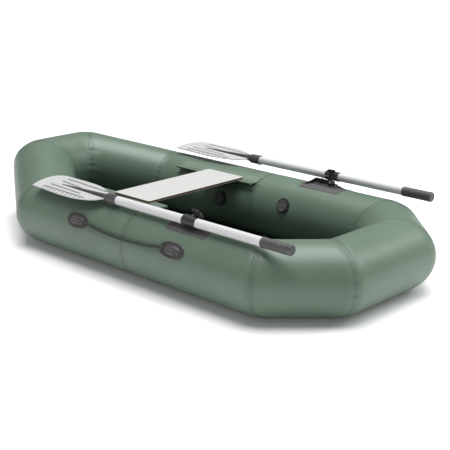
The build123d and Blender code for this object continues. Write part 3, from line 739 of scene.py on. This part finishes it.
def makeFittings(side, sideName, ropeFrames):
    # rimmed oval patches with a ridged boss, and a lip where the rope goes in
    shares = [1.0, 1.0, 0.992] + [0.98 - 0.96 * k / 44 for k in range(45)]

    def patch(x):
        def place(row, angle):
            share = shares[row]
            u = share * grab["patch"][0] * squared(math.cos(angle))
            v = share * grab["patch"][1] * squared(math.sin(angle))
            rise = 0.0015 + 0.0018 * swell(share, 0.945, 0.032) + 0.0013 * swell(share, 0.80, 0.035)
            inside = math.hypot(u / grab["boss"][0], v / grab["boss"][1])
            wall = eased((1.10 - inside) / 0.26)
            crown = grab["bossRise"] - 0.004 * min(1.0, inside) ** 2
            ridge = 0.0014 * math.cos(2 * math.pi * v / 0.0090) * eased(1.25 - inside)
            rise += (crown - rise + ridge) * wall
            if row == 0:
                rise = -0.0015
            elif row == 1:
                rise = 0.0011
            return aroundTube(side, x + u, grab["fittingAngle"] + v / hull["radius"], hull["radius"] + rise)
        return place

    def lip(start, step):
        ring = [(0.0, 0.0056), (0.0, 0.0083), (0.5, 0.0088), (1.0, 0.0083), (1.2, 0.0070), (1.2, 0.0056)]

        def place(row, angle):
            point, along, out, across = ropeFrames[start]
            shift, reach = ring[row]
            return point + step * shift * along + reach * (math.cos(angle) * out + math.sin(angle) * across)
        return place

    shapes = []
    for x, inward in zip(grab["fittingX"], (1, -1)):
        shapes.append(loft(120, len(shares), patch(x)))
        mouth = x + inward * (grab["boss"][0] - 0.002)
        start = min(range(len(ropeFrames)), key=lambda k: abs(ropeFrames[k][0].x - mouth))
        shapes.append(loft(40, 6, lip(start, inward * 0.006), True))
    node = "rope_fittings_" + sideName.lower()
    newPiece("ropeFittings" + sideName, joined(shapes), "fitting_rubber", "hull", node)


for side, sideName in ((-1, "Port"), (1, "Starboard")):
    makeFittings(side, sideName, makeRope(side, sideName))
print("ropes and fittings made")


# oars: a blade with pressed ribs, and a soft grip
oar = {
    "rolls": {"Port": math.radians(16), "Starboard": math.radians(10)},
    "root": -0.062,
    "tip": -0.500,
    "bend": -0.380,
    "lower": ((-0.062, -0.009), (-0.110, -0.041), (-0.187, -0.0626), (-0.302, -0.068), (-0.500, -0.0585)),
    "upper": ((-0.062, 0.009), (-0.110, 0.036), (-0.192, 0.0577), (-0.380, 0.062)),
    "half": 0.002,
    "rows": 176,
    "across": 96,
    "lines": (
        ((-0.377, 0.044), (-0.108, 0.031)),
        ((-0.388, 0.022), (-0.249, 0.009)),
        ((-0.421, -0.018), (-0.217, -0.026)),
        ((-0.438, -0.040), (-0.171, -0.045)),
    ),
    "rungs": 10,
    "grooveHalf": 0.0030,
    "grooveDeep": 0.0013,
    "gripStart": 0.763,
    "gripEnd": 0.897,
    "gripRadius": 0.0196,
    "shaft": 0.0175,
}


def along(points, x):
    # a smooth line through points, by their first number
    points = sorted(points)
    for k in range(len(points) - 1):
        (x0, y0), (x1, y1) = points[k], points[k + 1]
        if x <= x1 or k == len(points) - 2:
            before = points[k - 1] if k else (x0 - (x1 - x0), y0)
            after = points[k + 2] if k + 2 < len(points) else (x1 + (x1 - x0), y1)
            m0 = (y1 - before[1]) / (x1 - before[0]) * (x1 - x0)
            m1 = (after[1] - y0) / (after[0] - x0) * (x1 - x0)
            t = min(1.0, max(0.0, (x - x0) / (x1 - x0)))
            blend = eased(t)
            return (1 - blend) * y0 + blend * y1 + (t**3 - 2 * t * t + t) * m0 + (t**3 - t * t) * m1


def bladeEdges(x):
    low = along(oar["lower"], x)
    if x > oar["bend"]:
        return low, along(oar["upper"], x)
    t = max(0.0, (x - oar["tip"]) / (oar["bend"] - oar["tip"]))
    full = oar["upper"][-1][1]
    return low, low + 0.0005 + (full - low) * (1 - (1 - math.sqrt(t)) ** 2.2)


def bladeLines():
    lines = [(Vector(a), Vector(b)) for a, b in oar["lines"]]
    start, end = lines[-1]
    for k in range(oar["rungs"]):
        top = start.lerp(end, (k + 0.4) / oar["rungs"])
        lines.append((top, Vector((top.x - 0.004, along(oar["lower"], top.x) + 0.006))))
    return lines


def grooveAt(lines, x, v):
    deepest = 0.0
    here = Vector((x, v))
    for a, b in lines:
        run = b - a
        t = min(1.0, max(0.0, (here - a).dot(run) / run.length_squared))
        gap = (here - a - run * t).length
        deepest = max(deepest, swell(gap, 0, oar["grooveHalf"]))
    return deepest


def oarPlace(sideName):
    # the oar's own frame: its axis runs through the middles of its shaft and grip
    boxes = (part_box(node + sideName.lower()) for node in ("lower_shaft_", "oar_grip_"))
    shaft, grip = (sum(box, Vector()) / 2 for box in boxes)
    heading = (grip - shaft).normalized()
    origin = grip - heading * (oar["gripStart"] + oar["gripEnd"]) / 2
    lean = Matrix.Rotation(math.atan2(-heading.z, heading.x), 4, "Y")
    return Matrix.Translation(origin) @ lean @ Matrix.Rotation(oar["rolls"][sideName], 4, "X")


def makeBlade(sideName):
    place = oarPlace(sideName)
    lines = bladeLines()

    def point(row, angle):
        x = oar["root"] + (oar["tip"] - oar["root"]) * row / (oar["rows"] - 1)
        low, high = bladeEdges(x)
        turn = angle / math.pi
        face = 1 if turn <= 1 else -1
        u = turn if turn <= 1 else 2 - turn
        share = 0.35 * (0.5 - 0.5 * math.cos(math.pi * u)) + 0.65 * u
        v = low + (high - low) * share
        edge = min(v - low, high - v, (x - oar["tip"]) * 0.6 + 0.0005)
        rim = math.sqrt(max(0.0, 1 - (1 - min(1.0, edge / 0.0022)) ** 2))
        thick = oar["half"] + 0.0007 * swell(edge, 0.0035, 0.002)
        groove = grooveAt(lines, x, v) * eased((edge - 0.001) / 0.003)
        deep = oar["grooveDeep"] * (1 if face > 0 else 0.5) * groove
        return Vector((x, v, face * (thick - deep) * rim))

    shape = loft(2 * oar["across"], oar["rows"], point)
    # the groove mask is kept for the blade material, which paints shade into the grooves
    depth = shape.verts.layers.float.new("groove")
    for vert in shape.verts:
        vert[depth] = grooveAt(lines, vert.co.x, vert.co.y)
    bmesh.ops.transform(shape, matrix=place, verts=shape.verts)
    side = sideName.lower()
    newPiece("blade" + sideName, shape, "blade_plastic", side + "_oar", "oar_blade_" + side)


def makeGrip(sideName):
    # a moulded sleeve with rolled ends and fine grooves round it
    start, end, full, inner = oar["gripStart"], oar["gripEnd"], oar["gripRadius"], oar["shaft"] + 0.0001
    place = oarPlace(sideName)
    profile = [(start + 0.004, inner), (start, inner + 0.0003)]
    profile += [(start - 0.0003, full - 0.0004), (start + 0.001, full)]
    steps = 120
    pitch = 0.0045
    for k in range(steps + 1):
        x = start + 0.002 + (end - start - 0.009) * k / steps
        bead = 0.0009 * swell(x, start + 0.005, 0.003) + 0.0007 * swell(x, end - 0.009, 0.004)
        cut = 0.00045 * (0.5 - 0.5 * math.cos(2 * math.pi * (x - start) / pitch))
        cut *= eased((x - start - 0.010) / 0.006) * eased((end - 0.016 - x) / 0.006)
        profile.append((x, full + bead - cut))
    for k in range(1, 9):
        turn = k / 8 * math.pi / 2
        profile.append((end - 0.007 + 0.007 * math.sin(turn), full * (0.72 + 0.28 * math.cos(turn))))
    profile += [(end + 0.0003, full * 0.5), (end, full * 0.25), (end, 0.001)]

    def point(row, angle):
        x, reach = profile[row]
        return place @ Vector((x, reach * math.cos(angle), reach * math.sin(angle)))

    shape = loft(72, len(profile), point)
    side = sideName.lower()
    newPiece("grip" + sideName, shape, "grip_plastic", side + "_oar", "oar_grip_" + side)


for sideName in ("Port", "Starboard"):
    makeBlade(sideName)
    makeGrip(sideName)
print("blades and grips made")

bpy.context.scene.view_settings.view_transform = "Standard"
makeCamera()
makeLights()


def makeGround():
    paint = Paint("paleFloor")
    colour = paint.mix(paint.noise(2.0, 2.0), (0.93, 0.93, 0.93), (0.95, 0.95, 0.95))
    material = paint.finish(Base_Color=colour, Roughness=0.85, Emission_Color=colour, Emission_Strength=0.06)
    shape = bmesh.new()
    bmesh.ops.create_grid(shape, x_segments=4, y_segments=4, size=20.0)
    mesh = bpy.data.meshes.new("paleFloor")
    shape.to_mesh(mesh)
    shape.free()
    ground = bpy.data.objects.new("paleFloor", mesh)
    mesh.materials.append(material)
    bpy.context.scene.collection.objects.link(ground)


makeGround()
